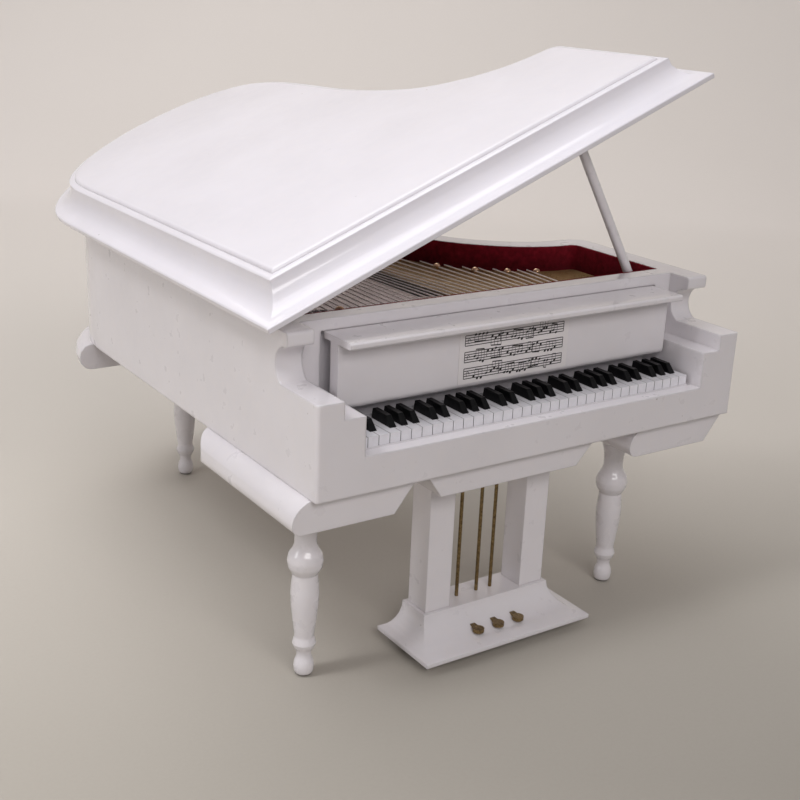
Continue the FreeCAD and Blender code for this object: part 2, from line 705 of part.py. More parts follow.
def case_leaf(y):
    """Leaf on the rim with a knuckle at each end; carries the pin."""
    axis_x, axis_z, top = dim.lid_axis_x, dim.lid_axis_z, dim.case_top
    rear = y + dim.leaf_length
    length, radius = dim.case_knuckle, dim.knuckle_radius
    web_x = axis_x + dim.web_width
    leaf = slab(axis_x, axis_x + dim.leaf_width, y, rear, top, top + dim.leaf_thick)
    leaf = leaf.cut(slab(axis_x - 1, axis_x + 1.6, y + 5.4, rear - 5.4, top - 1, top + 3))
    knuckles = y_cylinder(radius, length, axis_x, y, axis_z).fuse(
        y_cylinder(radius, length, axis_x, rear - length, axis_z))
    webs = slab(axis_x, web_x, y, y + length, top, axis_z).fuse(
        slab(axis_x, web_x, rear - length, rear, top, axis_z))
    below = slab(axis_x - 3, axis_x + 3, y - 1, rear + 1, top - 2, top)
    pin_hole = y_cylinder(dim.hinge_pin_radius, dim.leaf_length + 4, axis_x, y - 2, axis_z)
    holes = leaf_screw_holes(y, axis_x + dim.screw_x, top)
    return bored(leaf.fuse(knuckles).fuse(webs), [below, pin_hole] + holes).removeSplitter()


def lid_leaf(y):
    """Leaf under the lid with one middle knuckle, in the lid's frame."""
    rise, start = dim.lid_rise, dim.lid_knuckle_start
    rear = y + dim.leaf_length
    leaf = slab(0, dim.leaf_width, y + 0.2, rear - 0.2, rise - dim.leaf_thick, rise)
    leaf = leaf.cut(slab(-1, 1.7, y - 1, y + 5.6, rise - 3, rise + 1))
    leaf = leaf.cut(slab(-1, 1.7, rear - 5.6, rear + 1, rise - 3, rise + 1))
    knuckle = y_cylinder(dim.knuckle_radius, dim.leaf_length - 2 * start, 0, y + start, 0)
    web = slab(0, dim.web_width, y + start, rear - start, 0, rise)
    pin_hole = y_cylinder(dim.hinge_hole_radius, dim.leaf_length + 4, 0, y - 2, 0)
    holes = leaf_screw_holes(y, dim.screw_x, rise)
    return bored(leaf.fuse(knuckle).fuse(web), [pin_hole] + holes).removeSplitter()


def screws(x, shank_z, head_z):
    """Screws from the heights of the lower ends of shank and head."""
    return Part.makeCompound([
        Part.makeCylinder(dim.screw_radius, dim.screw_length, Vector(x, y, shank_z)).fuse(
            Part.makeCylinder(dim.head_radius, dim.head_height, Vector(x, y, head_z)))
        for y in SCREWS_Y])


HINGES_Y = (dim.hinge_front, dim.hinge_rear)
LID_LEAF_BOTTOM = dim.lid_rise - dim.leaf_thick
keep_shape("hinge_case_leaves", Part.makeCompound([case_leaf(y) for y in HINGES_Y]))
keep_shape("hinge_pins", Part.makeCompound([
    y_cylinder(dim.hinge_pin_radius, dim.leaf_length + 0.6,
               dim.lid_axis_x, y - 0.3, dim.lid_axis_z) for y in HINGES_Y]))
keep_shape("hinge_case_screws", screws(dim.lid_axis_x + dim.screw_x,
                                       dim.case_top - dim.case_screw_sink,
                                       dim.case_top + dim.leaf_thick))
keep_lid_shape("hinge_lid_leaves", Part.makeCompound([lid_leaf(y) for y in HINGES_Y]))
keep_lid_shape("hinge_lid_screws", screws(dim.screw_x, LID_LEAF_BOTTOM,
                                          LID_LEAF_BOTTOM - dim.head_height))


# ---------------------------------------------------------------- prop stick
def prop_stick():
    """Round rod with rounded ends and an eye for the pin at its foot."""
    angle = math.radians(dim.prop_angle)
    direction = Vector(-math.cos(angle), 0, math.sin(angle))
    pivot = Vector(dim.shift_x + dim.prop_x, dim.shift_y + dim.prop_y, dim.prop_z)
    rod = doc.addObject("Part::Cylinder", "prop_rod")
    rod.Height = PROP_LENGTH
    rod.Placement = FreeCAD.Placement(pivot, FreeCAD.Rotation(Vector(0, 0, 1), direction))
    foot = doc.addObject("Part::Sphere", "prop_foot")
    foot.Placement = FreeCAD.Placement(pivot, FreeCAD.Rotation())
    tip = doc.addObject("Part::Sphere", "prop_tip")
    tip.Placement = FreeCAD.Placement(pivot + direction * PROP_LENGTH, FreeCAD.Rotation())
    parts = [rod, foot, tip]
    for part in parts:
        bind(part, "Radius", "$prop_radius")
    eye = cylinder("prop_eye", "$prop_hole_radius", "6", "$prop_x", "$prop_y-3", "$prop_z", "y")
    return cut("prop_stick", fuse("prop", parts), [eye])


def prop_bracket():
    bracket = box("bracket", "$prop_x-2.4", "$prop_x+2.4", "$prop_y+2.0", "$prop_y+4.4",
                  "$plate_top", "$prop_z+1.7")
    hole = cylinder("bracket_hole", "$prop_pin_radius", "4",
                    "$prop_x", "$prop_y+1.4", "$prop_z", "y")
    return cut("prop_bracket", bracket, [hole])


keep("prop_stick", prop_stick())
keep("prop_pin", cylinder("pin", "$prop_pin_radius", "9.4",
                          "$prop_x", "$rail_back-2", "$prop_z", "y"))
keep("prop_bracket", prop_bracket())


# ---------------------------------------------------------------- leg blocks
def leg_block(label, left, right, leg):
    """Block shaped by three crossed profiles, with the hole for its leg's dowel.

    Sloping shoulder and round nose on the left, slanted end on the right; the rear
    left corner is rounded in plan, and the rear end sweeps up from the underside.
    """
    bottom, top = dim.block_bottom, dim.case_bottom
    front, rear, radius = dim.block_front, dim.block_rear, dim.block_corner
    nose = left - 5.5
    end_view = padded(
        label, [(left + 0.2, top), (left - 5.45, 55.2), (left - 2.6, bottom),
                (right - 7.2, bottom), (right, top)],
        "XZ_Plane", "$block_rear-$block_front", (0, "$block_front", 0),
        arcs={0: (left - 3.55, 59.1), 1: (left - 4.75, 52.9)}, reverse=True)
    inset = radius * ROUND_MIDDLE
    plan = padded(
        label + "_plan", [(nose, front - 1), (right + 1, front - 1), (right + 1, rear),
                          (nose + radius, rear), (nose, rear - radius)],
        "XY_Plane", "$case_bottom-$block_bottom+2", (0, 0, "$block_bottom-1"),
        arcs={3: (nose + inset, rear - inset)})
    side_view = padded(
        label + "_side", [(front - 1, bottom - 0.01), (rear - 13, bottom - 0.01),
                          (rear + 0.01, top - 0.1), (rear + 0.01, top + 1),
                          (front - 1, top + 1)],
        "YZ_Plane", "%s-%s+20" % (right, left), ("%s-10" % left, 0, 0),
        arcs={1: (rear - 5.05, bottom + 2.52)})
    common = doc.addObject("Part::MultiCommon", "common_" + label)
    common.Shapes = [end_view, plan, side_view]
    hole = cylinder(label + "_hole", "$dowel_radius", "$dowel_top-$block_bottom+1",
                    *LEGS[leg], "$block_bottom-1")
    keep(label, cut(label, common, [hole]))


def lyre_block():
    bottom, top = dim.lyre_block_bottom, dim.case_bottom
    profile = [(41.5, bottom), (90.6, bottom), (97.4, top), (36.4, top)]
    return padded("lyre_block", profile, "XZ_Plane", "$lyre_block_rear-$block_front",
                  (0, "$block_front", 0), reverse=True)


def tail_block():
    """Block that follows the outline of the tail, with a round nose all along it."""
    bottom, top = dim.block_bottom, dim.case_bottom
    nose = []  # offset from the case outline, height
    for degrees in range(-90, 91, 30):
        angle = math.radians(degrees)
        nose.append((5.0 - 4.3 * (1 - math.cos(angle)),
                     (bottom + top) / 2 + (top - bottom) / 2 * math.sin(angle)))
    block = fused(lofts(lambda grow, z: case_outline(0, grow, z, dim.case_corner), nose))
    block = block.common(slab(-20, 74, 158.2, 260, bottom, top))
    return block.cut(Part.makeCylinder(dim.dowel_radius, dim.dowel_top - bottom + 1,
                                       Vector(dim.rear_leg_x, dim.rear_leg_y, bottom - 1)))


leg_block("left_leg_block", 0.0, 33.2, "front_left_leg")
leg_block("right_leg_block", 117.7, 151.8, "front_right_leg")
keep("lyre_block", lyre_block())
keep_shape("tail_block", tail_block())

# ---------------------------------------------------------------- turned legs
# Height above the floor, radius
LEG_PROFILE = [
    (0.0, 1.8), (0.3, 2.3), (1.2, 2.8), (2.9, 3.0), (4.4, 2.75), (5.6, 2.25), (6.6, 2.1),
    (7.8, 2.3), (8.8, 3.0), (10.1, 3.45), (11.4, 3.1), (12.2, 2.85), (13.2, 2.95),
    (17.0, 3.4), (22.0, 3.95), (26.0, 4.1), (29.5, 3.85), (31.8, 3.6), (32.6, 4.1),
    (34.0, 4.85), (36.0, 5.15), (38.0, 4.7), (39.5, 3.7), (41.0, 3.15), (43.5, 3.15),
    (46.5, 3.5), (49.3, 4.3), (dim.block_bottom, 5.2),
]


def leg(label, x, y):
    profile = [(radius, z) for z, radius in LEG_PROFILE]
    body = turned(label, [(0.0, 0.0)] + profile + [(0.0, dim.block_bottom)], (x, y, 0))
    hole = cylinder(label + "_hole", "$dowel_radius", "$block_bottom-$dowel_bottom+1",
                    x, y, "$dowel_bottom")
    keep(label, cut(label, body, [hole]))


for label, (x, y) in LEGS.items():
    leg(label, x, y)
keep("leg_dowels", group("dowels", [
    cylinder("dowel", "$dowel_radius", "$dowel_top-$dowel_bottom", x, y, "$dowel_bottom")
    for x, y in LEGS.values()]))

# ---------------------------------------------------------------- pedal lyre
RODS_X = (59.6, 67.0, 72.3)
PEDALS_X = (59.5, 67.0, 74.5)


def lyre_post(label, left):
    keep(label, box(label + "_box", left, left + "+$post_width", "$post_front",
                    "$post_front+$post_depth", "$base_top", "$lyre_block_bottom"))


def base_plan(spread, z):
    """Rectangle of the base at height z; spread is 1 at the plinth and 0 at the top."""
    half = 23.2 + (dim.base_width / 2 - 23.2) * spread
    x0, x1 = dim.lyre_x - half, dim.lyre_x + half
    y0 = 10.8 - (10.8 - dim.base_front) * spread
    y1 = 22.2 + (dim.base_rear - 22.2) * spread
    return Part.makePolygon([Vector(x, y, z) for x, y in (
        (x0, y0), (x1, y0), (x1, y1), (x0, y1), (x0, y0))])


def pedal(x):
    bottom, thick = dim.pedal_bottom, dim.pedal_thick
    shank = slab(x - 0.9, x + 0.9, 5.0, 12.0, bottom, bottom + thick)
    toe = Part.makeCylinder(1.75, thick, Vector(x, 4.6, bottom))
    return shank.fuse(toe).removeSplitter()


def lyre_base(pedals):
    """Plinth with hollow sides above it, cut out for the pedals."""
    plinth_top = dim.base_bottom + dim.plinth_thick
    stations = [(1.0, dim.base_bottom), (1.0, plinth_top)]
    for degrees in range(75, -1, -15):
        angle = math.radians(degrees)
        stations.append((0.86 * (1 - math.cos(angle)),
                         dim.base_top - (dim.base_top - plinth_top - 0.15) * math.sin(angle)))
    return bored(fused(lofts(base_plan, stations)), pedals).removeSplitter()


lyre_post("lyre_left_post", "$lyre_x-$post_gap/2-$post_width")
lyre_post("lyre_right_post", "$lyre_x+$post_gap/2")
keep("lyre_rods", group("rods", [
    cylinder("rod", "$rod_radius", "$lyre_block_bottom-$base_top", x, "$rod_y", "$base_top")
    for x in RODS_X]))
pedals = [pedal(x) for x in PEDALS_X]
keep_shape("lyre_base", lyre_base(pedals))
keep_shape("pedals", Part.makeCompound(pedals))

# ---------------------------------------------------------------- check and export
doc.recompute()
failed = [obj.Name for obj in doc.Objects if "Invalid" in obj.State or "Error" in obj.State]
if failed:
    raise RuntimeError("failed objects: %s" % failed)
os.makedirs("parts", exist_ok=True)
for node in nodes:
    shape = node.Shape
    if shape.isNull() or not shape.isValid() or not shape.Solids:
        raise RuntimeError("bad shape: %s" % node.Label)
    shape.exportStep("parts/%s.step" % node.Label)
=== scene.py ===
# A miniature white-lacquered grand piano with an open velvet-lined case and printed music.
# It stands on the floor, z = 0, with its front towards -y, its left towards -x and z up.
# The CAD pieces and the scene are in the row frame, in metres. The case frame, in
# millimetres, is used for places on the piano and for the camera.
import bpy
import bmesh
import json
import math
import random
from mathutils import Vector, Matrix


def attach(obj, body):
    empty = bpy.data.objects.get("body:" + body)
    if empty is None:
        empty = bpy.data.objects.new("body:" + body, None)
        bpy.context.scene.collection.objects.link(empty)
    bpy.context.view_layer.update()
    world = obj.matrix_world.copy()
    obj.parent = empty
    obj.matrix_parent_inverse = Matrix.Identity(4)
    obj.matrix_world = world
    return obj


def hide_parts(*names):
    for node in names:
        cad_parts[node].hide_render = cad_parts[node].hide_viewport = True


CASE_SHIFT = (-0.07280, -0.10413)    # case frame to row frame, metres

# finish of the CAD meshes
WELD = 0.000002                      # metres
SPLIT_ANGLE = 28                     # degrees; sharper edges stay crisp
FINE_SPLIT_ANGLE = 22
FINE_SPLIT = {"rim_wall", "lid_moulding", "tail_block"}
FLAT_SHADED = {"strings"}
LID = {"lid_panel", "lid_moulding"}
TURNED = {"front_left_leg", "front_right_leg", "rear_leg", "prop_stick"}
CASE_PIECES = ["rim_wall", "left_key_block", "right_key_block", "key_slip", "front_rail"]

# camera: angles in degrees, place in the case frame in millimetres
VIEW_AZIMUTH = -34.3991
VIEW_DIP = 19.1108
VIEW_ROLL = 2.4272
CAMERA_PLACE = (-148.41, -252.64, 191.58)
SENSOR_WIDTH = 36.0
FOCAL_LENGTH = 56.27961

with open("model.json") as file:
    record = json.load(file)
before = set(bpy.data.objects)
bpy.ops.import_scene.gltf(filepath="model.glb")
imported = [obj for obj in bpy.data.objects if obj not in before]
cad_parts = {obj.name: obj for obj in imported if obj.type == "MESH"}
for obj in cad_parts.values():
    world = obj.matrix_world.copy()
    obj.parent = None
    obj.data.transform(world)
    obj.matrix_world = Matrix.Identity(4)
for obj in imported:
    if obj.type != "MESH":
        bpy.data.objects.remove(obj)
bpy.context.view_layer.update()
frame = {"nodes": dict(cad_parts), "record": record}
PIECES = frame["nodes"]
random.seed(7)


def case_point(x, y, z):
    """A point of the case frame in millimetres, as metres in the row frame."""
    return Vector((x / 1000 + CASE_SHIFT[0], y / 1000 + CASE_SHIFT[1], z / 1000))


def ground_axes(azimuth):
    """Level unit vectors ahead and to the right, for an azimuth in degrees."""
    a = math.radians(azimuth)
    return Vector((-math.sin(a), math.cos(a), 0)), Vector((math.cos(a), math.sin(a), 0))


def add_object(name, data):
    item = bpy.data.objects.new(name, data)
    bpy.context.scene.collection.objects.link(item)
    return item


def add_mesh(name, points, faces, material):
    mesh = bpy.data.meshes.new(name)
    mesh.from_pydata(points, [], faces)
    mesh.materials.append(material)
    return add_object(name, mesh)


def smooth_faces(mesh):
    for face in mesh.polygons:
        face.use_smooth = True


def split_sharp_edges(item, degrees):
    split = item.modifiers.new("split", "EDGE_SPLIT")
    split.split_angle = math.radians(degrees)


# ------------------------------------------------------------ shader building
class Shader:
    """A material with one Principled surface; the methods add nodes and return an output.

    Any value may be a number, a tuple or the output of another node.
    """

    def __init__(self, name):
        self.material = bpy.data.materials.new(name)
        self.material.use_nodes = True
        self.tree = self.material.node_tree
        self.tree.nodes.clear()
        output = self.tree.nodes.new("ShaderNodeOutputMaterial")
        self.bsdf = self.tree.nodes.new("ShaderNodeBsdfPrincipled")
        self.tree.links.new(self.bsdf.outputs[0], output.inputs[0])

    def put(self, socket, value):
        if isinstance(value, bpy.types.NodeSocket):
            self.tree.links.new(value, socket)
        else:
            socket.default_value = (*value, 1.0) if socket.type == "RGBA" else value

    def surface(self, inputs):
        """Set the Principled inputs and return the finished material."""
        for key, value in inputs.items():
            self.put(self.bsdf.inputs[key], value)
        return self.material

    def node(self, kind, inputs, **settings):
        node = self.tree.nodes.new("ShaderNode" + kind)
        for key, value in settings.items():
            setattr(node, key, value)
        for key, value in inputs.items():
            self.put(node.inputs[key], value)
        return node

    def place(self):
        """The point in object space, metres."""
        return self.node("TexCoord", {}).outputs["Object"]

    def place_mm(self):
        return self.scaled(self.place(), 1000.0)

    def scaled(self, vector, factor):
        return self.node("VectorMath", {0: vector, 3: factor}, operation="SCALE").outputs[0]

    def dot(self, vector, axis):
        node = self.node("VectorMath", {0: vector, 1: axis}, operation="DOT_PRODUCT")
        return node.outputs["Value"]

    def stretched(self, vector, scale, turn=0.0):
        inputs = {"Vector": vector, "Scale": scale, "Rotation": (0, 0, turn)}
        return self.node("Mapping", inputs).outputs[0]

    def axis(self, vector, name):
        return self.node("SeparateXYZ", {0: vector}).outputs[name]

    def noise(self, vector, scale, detail=3.0, rough=0.5):
        inputs = {"Vector": vector, "Scale": scale, "Detail": detail, "Roughness": rough}
        return self.node("TexNoise", inputs).outputs["Fac"]

    def ramp(self, value, stops):
        node = self.node("ValToRGB", {0: value})
        elements = node.color_ramp.elements
        while len(elements) < len(stops):
            elements.new(0.5)
        for element, (position, color) in zip(elements, stops):
            element.position = position
            element.color = (*color, 1.0)
        return node.outputs[0]

    def remap(self, value, span, to=(0, 1)):
        """Map the range span onto the range to, clamped."""
        inputs = {0: value, 1: span[0], 2: span[1], 3: to[0], 4: to[1]}
        return self.node("MapRange", inputs).outputs[0]

    def mix(self, amount, first, second):
        return self.node("Mix", {0: amount, 6: first, 7: second}, data_type="RGBA").outputs[2]

    def blotch(self, pattern, first, second, span=(0.3, 0.7), most=1.0):
        """Pass from the first colour towards the second as the pattern crosses the span."""
        return self.mix(self.remap(pattern, span, to=(0, most)), first, second)

    def math(self, operation, *values):
        return self.node("Math", dict(enumerate(values)), operation=operation).outputs[0]

    def bevel(self, radius):
        return self.node("Bevel", {"Radius": radius}, samples=6).outputs[0]

    def bump(self, height, strength, distance, normal=None):
        inputs = {"Strength": strength, "Distance": distance, "Height": height}
        if normal is not None:
            inputs["Normal"] = normal
        return self.node("Bump", inputs).outputs[0]


def times(color, *factors):
    """A colour times one factor, or times one factor for each channel."""
    if len(factors) == 1:
        factors *= 3
    return tuple(c * k for c, k in zip(color, factors))


# ------------------------------------------------------------ materials
# Noise scales are per millimetre; bevel radii and bump distances are in metres.
def lacquer(name, tint=(0.785, 0.755, 0.785), edge=0.0005, ripple=0.35, rough=0.10,
            dark_foot=False):
    s = Shader(name)
    v = s.place_mm()
    # slow tone variation of the sprayed lacquer
    slow = s.noise(v, scale=0.035, rough=0.55)
    fine = s.noise(v, scale=0.35, detail=4.0, rough=0.6)
    color = s.blotch(slow, times(tint, 0.955), tint, span=(0.35, 0.65))
    color = s.blotch(fine, color, times(tint, 1.0, 0.985, 0.96), span=(0.45, 0.75), most=0.5)
    # painted shade that darkens inside corners and joints, found by ambient occlusion
    corners = s.node("AmbientOcclusion", {"Distance": 0.0022}, samples=4).outputs["AO"]
    corner_shade = s.remap(corners, span=(0.35, 0.85), to=(0.75, 0.0))
    color = s.mix(s.math("MULTIPLY", corner_shade, 0.22), color, (0.40, 0.35, 0.32))
    # small dust nibs and dark specks caught in the paint
    cells = s.node("TexVoronoi", {"Scale": 0.13, "Vector": v}).outputs["Distance"]
    specks = s.remap(cells, span=(0.022, 0.045), to=(1.0, 0.0))
    patches = s.noise(v, scale=0.09, detail=2.0)
    chosen = s.remap(patches, span=(0.54, 0.62), to=(0.0, 0.6))
    color = s.mix(s.math("MULTIPLY", specks, chosen), color, (0.16, 0.12, 0.09))
    if dark_foot:
        # the very bottom of the turned feet is coloured dark brown, fading out by 0.75 mm up
        low = s.remap(s.axis(v, "Z"), span=(0.45, 0.75), to=(1.0, 0.0))
        color = s.mix(low, color, (0.06, 0.045, 0.032))
    base_rough = s.remap(s.noise(v, scale=0.22, detail=4.0), span=(0.3, 0.75),
                         to=(rough + 0.16, rough + 0.34))
    coat_rough = s.remap(s.noise(v, scale=0.15), span=(0.3, 0.75),
                         to=(rough * 0.3, rough * 0.7))
    # orange peel of the sprayed coat and a slight waviness of the wood under it
    rounded = s.bevel(edge)
    peel = s.noise(v, scale=0.55, detail=2.0, rough=0.4)
    waves = s.noise(v, scale=0.09, detail=2.0)
    normal = s.bump(waves, strength=0.5 * ripple, distance=0.0010, normal=rounded)
    normal = s.bump(peel, strength=0.35 * ripple, distance=0.00012, normal=normal)
    return s.surface({
        "Base Color": color,
        "Roughness": base_rough,
        "IOR": 1.45,
        "Coat Weight": 0.9,
        "Coat IOR": 1.52,
        "Coat Roughness": coat_rough,
        "Normal": normal,
        "Coat Normal": normal,
    })


def velvet():
    s = Shader("burgundy_velvet")
    v = s.place_mm()
    crush = s.noise(v, scale=0.5, detail=5.0, rough=0.65)
    fibres = s.noise(v, scale=4.0, rough=0.7)
    color = s.ramp(crush, [(0.3, (0.13, 0.006, 0.012)), (0.55, (0.27, 0.010, 0.024)),
                           (0.8, (0.42, 0.022, 0.04))])
    color = s.blotch(fibres, color, (0.10, 0.003, 0.008), span=(0.4, 0.8), most=0.6)
    # painted shade: the lining is darker towards its foot, deep inside the case, and brightest
    # at its top edge
    shade = s.remap(s.axis(v, "Z"), span=(95.0, 102.0), to=(0.32, 0.95))
    return s.surface({
        "Base Color": s.scaled(color, shade),
        "Roughness": 0.95,
        "Specular IOR Level": 0.1,
        "Sheen Weight": 0.45,
        "Sheen Roughness": 0.4,
        "Sheen Tint": (0.60, 0.05, 0.08),
        "Normal": s.bump(fibres, strength=0.9, distance=0.0006),
    })


def metal(name, first, second, rough, scale, metallic=1.0):
    s = Shader(name)
    v = s.place_mm()
    tarnish = s.noise(v, scale=scale, detail=5.0, rough=0.6)
    wear = s.noise(v, scale=scale * 2.3)
    return s.surface({
        "Base Color": s.blotch(tarnish, first, second),
        "Metallic": metallic,
        "Roughness": s.remap(wear, span=(0.3, 0.7), to=(rough * 0.7, rough * 1.5)),
        "Normal": s.bump(tarnish, strength=0.5, distance=0.00008),
    })


def plate_paint():
    """Metallic paint that passes from rose at the left, a painted reflection of the pale lid
    underside, to gold at the right.
    """
    s = Shader("gold_paint")
    v = s.place_mm()
    tone = s.noise(v, scale=0.12, detail=4.0, rough=0.6)
    flake = s.noise(v, scale=6.0, detail=2.0, rough=0.8)
    gold = s.blotch(tone, (0.34, 0.22, 0.09), (0.50, 0.34, 0.16))
    lid_reflection = s.blotch(tone, (0.60, 0.52, 0.53), (0.72, 0.63, 0.64))
    # painted reflection: the rose at the left stands for the lid's underside mirrored in the
    # plate
    color = s.mix(s.remap(s.axis(v, "X"), span=(-6.0, 10.0)), lid_reflection, gold)
    color = s.blotch(flake, color, (0.80, 0.64, 0.48), span=(0.55, 0.75), most=0.4)
    return s.surface({
        "Base Color": color,
        "Metallic": 0.5,
        "Roughness": s.remap(flake, span=(0.3, 0.7), to=(0.20, 0.36)),
        "Normal": s.bump(flake, strength=0.4, distance=0.00008),
    })


def board_stain():
    s = Shader("soundboard_stain")
    along = s.stretched(s.place_mm(), scale=(1.0, 0.08, 1.0), turn=0.35)
    grain = s.noise(along, scale=1.4, detail=6.0, rough=0.65)
    color = s.ramp(grain, [(0.30, (0.006, 0.003, 0.004)), (0.55, (0.016, 0.006, 0.007)),
                           (0.8, (0.035, 0.014, 0.014))])
    return s.surface({
        "Base Color": color,
        "Roughness": 0.6,
        "Specular IOR Level": 0.2,
        "Normal": s.bump(grain, strength=0.4, distance=0.0001),
    })


def raw_wood():
    s = Shader("raw_wood")
    along = s.stretched(s.place_mm(), scale=(1.0, 0.1, 0.1))
    grain = s.noise(along, scale=1.1, detail=6.0, rough=0.6)
    return s.surface({
        "Base Color": s.ramp(grain, [(0.3, (0.42, 0.29, 0.17)), (0.7, (0.66, 0.51, 0.34))]),
        "Roughness": 0.7,
        "Normal": s.bump(grain, strength=0.4, distance=0.0001),
    })


def plastic(name, first, second, rough, edge, coat, specular=0.5, gap_shade=None):
    s = Shader(name)
    v = s.place_mm()
    tone = s.noise(v, scale=0.4, detail=4.0, rough=0.6)
    wear = s.noise(v, scale=3.0, rough=0.6)
    color = s.blotch(tone, first, second)
    if gap_shade is not None:
        # painted shade on the side walls, down between one key and the next
        facing = s.node("NewGeometry", {}).outputs["True Normal"]
        sideways = s.math("ABSOLUTE", s.axis(facing, "X"))
        color = s.mix(s.remap(sideways, span=(0.85, 0.95)), color, gap_shade)
    return s.surface({
        "Base Color": color,
        "Roughness": s.remap(wear, span=(0.3, 0.7), to=(rough * 0.8, rough * 1.35)),
        "Coat Weight": coat,
        "Coat Roughness": 0.08,
        "Specular IOR Level": specular,
        "Normal": s.bump(tone, strength=0.3, distance=0.00015, normal=s.bevel(edge)),
    })


def paper():
    s = Shader("music_print")
    v = s.place_mm()
    tint = (0.80, 0.765, 0.775)
    fibres = s.noise(v, scale=1.5, detail=5.0, rough=0.7)
    color = s.blotch(s.noise(v, scale=0.1), times(tint, 0.95), tint)
    color = s.blotch(fibres, color, times(tint, 0.9), span=(0.4, 0.7), most=0.25)
    return s.surface({
        "Base Color": color,
        "Roughness": 0.32,
        "Normal": s.bump(fibres, strength=0.3, distance=0.00005),
    })


def ink():
    s = Shader("printing_ink")
    wear = s.noise(s.place_mm(), scale=5.0, rough=0.7)
    color = s.blotch(wear, (0.012, 0.010, 0.010), (0.05, 0.042, 0.042), span=(0.4, 0.8))
    return s.surface({"Base Color": color, "Roughness": 0.45})


MATERIALS = {
    "white_lacquer": lacquer("white_lacquer"),
    "turned_lacquer": lacquer("turned_lacquer", edge=0.0003, ripple=0.5, rough=0.06,
                              dark_foot=True),
    "case_lacquer": lacquer("case_lacquer", edge=0.0009),
    # painted light: the lid is tinted paler and cooler than the rest, for the cool top light
    # that falls on it
    "lid_lacquer": lacquer("lid_lacquer", tint=(0.815, 0.79, 0.845), edge=0.00035,
                           ripple=0.12, rough=0.12),
    "white_key": plastic("white_key", (0.80, 0.79, 0.83), (0.74, 0.73, 0.77), rough=0.16,
                         edge=0.00012, coat=0.5, gap_shade=(0.34, 0.32, 0.33)),
    "black_key": plastic("black_key", (0.0015, 0.0015, 0.002), (0.005, 0.005, 0.006),
                         rough=0.32, edge=0.00025, coat=0.0, specular=0.22),
    "music_print": paper(),
    "printing_ink": ink(),
    "soundboard_stain": board_stain(),
    "raw_wood": raw_wood(),
    "gold_paint": plate_paint(),
    "burgundy_velvet": velvet(),
    "string_wire": metal("string_wire", (0.96, 0.90, 0.89), (0.86, 0.78, 0.76),
                         rough=0.30, scale=2.0, metallic=0.25),
    "gilt_tack": metal("gilt_tack", (0.85, 0.60, 0.42), (0.60, 0.38, 0.24),
                       rough=0.09, scale=0.8),
    "aged_brass": metal("aged_brass", (0.34, 0.24, 0.11), (0.13, 0.09, 0.045),
                        rough=0.28, scale=1.0),
    "steel_wire": metal("steel_wire", (0.60, 0.60, 0.60), (0.45, 0.45, 0.45),
                        rough=0.25, scale=2.0),
}


# ------------------------------------------------------------ CAD pieces
def finish_pieces():
    for row in frame["record"]["subparts"]:
        name = row["node"]
        piece = PIECES[name]
        key = row["material_slot"]
        if name in LID:
            key = "lid_lacquer"
        if name in TURNED:
            key = "turned_lacquer"
        piece.data.materials.clear()
        piece.data.materials.append(MATERIALS[key])
        weld = piece.modifiers.new("weld", "WELD")
        weld.merge_threshold = WELD
        if name not in FLAT_SHADED:
            smooth_faces(piece.data)
    for piece in PIECES.values():
        split_sharp_edges(piece, FINE_SPLIT_ANGLE if piece.name in FINE_SPLIT else SPLIT_ANGLE)


def clean_copy(name):
    """A copy of a piece with its seams welded and its flat faces merged."""
    mesh = PIECES[name].data.copy()
    bm = bmesh.new()
    bm.from_mesh(mesh)
    bmesh.ops.remove_doubles(bm, verts=bm.verts, dist=WELD)
    bmesh.ops.dissolve_limit(bm, angle_limit=math.radians(0.2), verts=bm.verts, edges=bm.edges)
    bm.to_mesh(mesh)
    bm.free()
    return add_object(name + "_skin", mesh)


def build_case_skin():
    """The wall, key blocks, key slip and rail are filled and sprayed as one skin."""
    parts = [clean_copy(name) for name in CASE_PIECES]
    for part in parts[1:]:
        join = parts[0].modifiers.new("join", "BOOLEAN")
        join.operation = "UNION"
        join.solver = "EXACT"
        join.object = part
    bpy.context.view_layer.update()
    depsgraph = bpy.context.evaluated_depsgraph_get()
    mesh = bpy.data.meshes.new_from_object(parts[0].evaluated_get(depsgraph))
    for part in parts:
        bpy.data.objects.remove(part)
    skin = add_object("case_skin", mesh)
    mesh.materials.clear()
    mesh.materials.append(MATERIALS["case_lacquer"])
    smooth_faces(mesh)
    for face in mesh.polygons:
        face.material_index = 0
    split_sharp_edges(skin, FINE_SPLIT_ANGLE)
    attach(skin, "case")
    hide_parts(*CASE_PIECES)


# ------------------------------------------------------------ pile of the velvet
FIBRES_PER_MM2 = 14
FIBRE_HEIGHT = (0.00012, 0.00034)    # metres, as are the rest
FIBRE_RADIUS = (0.00006, 0.00011)
FIBRE_LEAN = 0.00022                 # furthest the tip leans along x or y
FIBRE_ROOT = 0.00003                 # depth of the foot below the edge


def top_triangles(mesh):
    """Area and corners of each triangle on the top edge of a mesh."""
    mesh.calc_loop_triangles()
    top = max(vertex.co.z for vertex in mesh.vertices)
    found = []
    for triangle in mesh.loop_triangles:
        a, b, c = corners = [mesh.vertices[i].co for i in triangle.vertices]
        if all(abs(corner.z - top) < 1e-5 for corner in corners):
            found.append(((b - a).cross(c - a).length / 2, corners))
    return found


